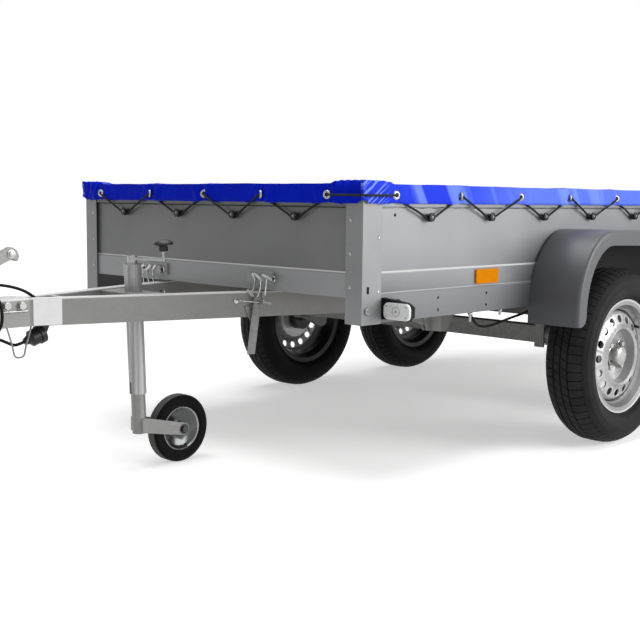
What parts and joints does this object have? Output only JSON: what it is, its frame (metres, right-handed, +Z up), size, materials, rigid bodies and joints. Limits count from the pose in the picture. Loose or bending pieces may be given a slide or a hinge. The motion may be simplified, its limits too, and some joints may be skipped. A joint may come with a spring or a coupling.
{
  "type": "tandem axle tilting utility trailer",
  "caption": "Tandem axle box trailer with a tilting bed on a V drawbar, flat tarpaulin, drop tailgate, ball coupling, tandem mudguards and a jockey wheel.",
  "frame": {"origin": "on the ground under the middle of the whole trailer, measured over the coupling's nose and the rear lamps", "axes": "+Z up, -Y forward towards the coupling, +X towards the trailer's left side"},
  "size_m": [1.594, 3.598, 0.8093],
  "materials": {
    "galvanised_sheet": "satin",
    "galvanised_frame": "matt spangled",
    "zinc_plate": "bright",
    "plywood": "film faced",
    "guard_plastic": "matt",
    "tarp_pvc": "coated",
    "black_plastic": "matt",
    "black_rubber": "matt",
    "clear_lens": "clear",
    "amber_lens": "clear",
    "red_lens": "clear",
    "tyre_rubber": "matt",
    "rim_silver": "silver"
  },
  "bodies": {
    "bed": {"side_panel_left": "galvanised_sheet", "side_panel_right": "galvanised_sheet", "front_panel": "galvanised_sheet", "corner_posts": "galvanised_sheet", "floor_board": "plywood", "cross_members": "galvanised_frame", "rear_sill": "galvanised_frame", "pivot_brackets": "galvanised_frame", "axle_front": "galvanised_frame", "axle_rear": "galvanised_frame", "mudguard_left": "guard_plastic", "mudguard_right": "guard_plastic", "tarp": "tarp_pvc", "tarp_rear_flap": "tarp_pvc", "tarp_hooks": "black_plastic", "front_lamp_bases": "black_rubber", "front_lamp_lenses": "clear_lens", "side_markers": "amber_lens", "rear_bar": "galvanised_frame", "rear_lamps": "black_plastic", "rear_lenses": "red_lens", "latch_catches": "zinc_plate"},
    "tailgate": {"tailgate": "galvanised_sheet", "tailgate_hooks": "black_plastic"},
    "drawbar": {"drawbar_arm_left": "galvanised_frame", "drawbar_arm_right": "galvanised_frame", "cross_bar": "galvanised_frame", "coupling_head": "zinc_plate", "coupling_handle": "zinc_plate", "tilt_latches": "zinc_plate", "latch_lever": "zinc_plate", "plug": "black_plastic", "plug_holder": "black_plastic", "lead_gland": "black_rubber", "lead_coil": "black_rubber", "lead_root": "black_rubber", "lead_end": "black_rubber"},
    "jockey_column": {"jockey_tube": "galvanised_frame", "jockey_crank": "zinc_plate", "crank_knob": "black_plastic"},
    "jockey_caster": {"jockey_fork": "galvanised_frame"},
    "jockey_wheel": {"jockey_rim": "zinc_plate", "jockey_tyre": "tyre_rubber"},
    "wheel_front_left": {"tyre_front_left": "tyre_rubber", "rim_front_left": "rim_silver"},
    "wheel_front_right": {"tyre_front_right": "tyre_rubber", "rim_front_right": "rim_silver"},
    "wheel_rear_left": {"tyre_rear_left": "tyre_rubber", "rim_rear_left": "rim_silver"},
    "wheel_rear_right": {"tyre_rear_right": "tyre_rubber", "rim_rear_right": "rim_silver"}
  },
  "joints": [
    {"name": "tailgate_hinge", "type": "hinge", "parent": "bed", "child": "tailgate", "pos_m": [0, 1.767, 0.5], "axis": [-1, 0, 0], "range_deg": [0, 95], "deforming": ["tarp_rear_flap"]},
    {"name": "drawbar_tilt", "type": "hinge", "parent": "bed", "child": "drawbar", "pos_m": [0, -0.287, 0.395], "axis": [1, 0, 0], "range_deg": [0, 25]},
    {"name": "jockey_slide", "type": "slide", "parent": "drawbar", "child": "jockey_column", "axis": [0, -0.0419, 0.9991], "range_m": [-0.05, 0.2]},
    {"name": "jockey_swivel", "type": "hinge", "parent": "jockey_column", "child": "jockey_caster", "pos_m": [0, -1.1296, 0.2], "axis": [0, -0.0419, 0.9991], "continuous": true},
    {"name": "jockey_wheel_spin", "type": "hinge", "parent": "jockey_caster", "child": "jockey_wheel", "pos_m": [0, -0.99022, 0.0985], "axis": [1, 0, 0], "continuous": true},
    {"name": "wheel_front_left_spin", "type": "hinge", "parent": "bed", "child": "wheel_front_left", "pos_m": [0.716, 0.19, 0.2795], "axis": [1, 0, 0], "continuous": true},
    {"name": "wheel_front_right_spin", "type": "hinge", "parent": "bed", "child": "wheel_front_right", "pos_m": [-0.716, 0.19, 0.2795], "axis": [1, 0, 0], "continuous": true},
    {"name": "wheel_rear_left_spin", "type": "hinge", "parent": "bed", "child": "wheel_rear_left", "pos_m": [0.716, 0.886, 0.2795], "axis": [1, 0, 0], "continuous": true},
    {"name": "wheel_rear_right_spin", "type": "hinge", "parent": "bed", "child": "wheel_rear_right", "pos_m": [-0.716, 0.886, 0.2795], "axis": [1, 0, 0], "continuous": true}
  ]
}
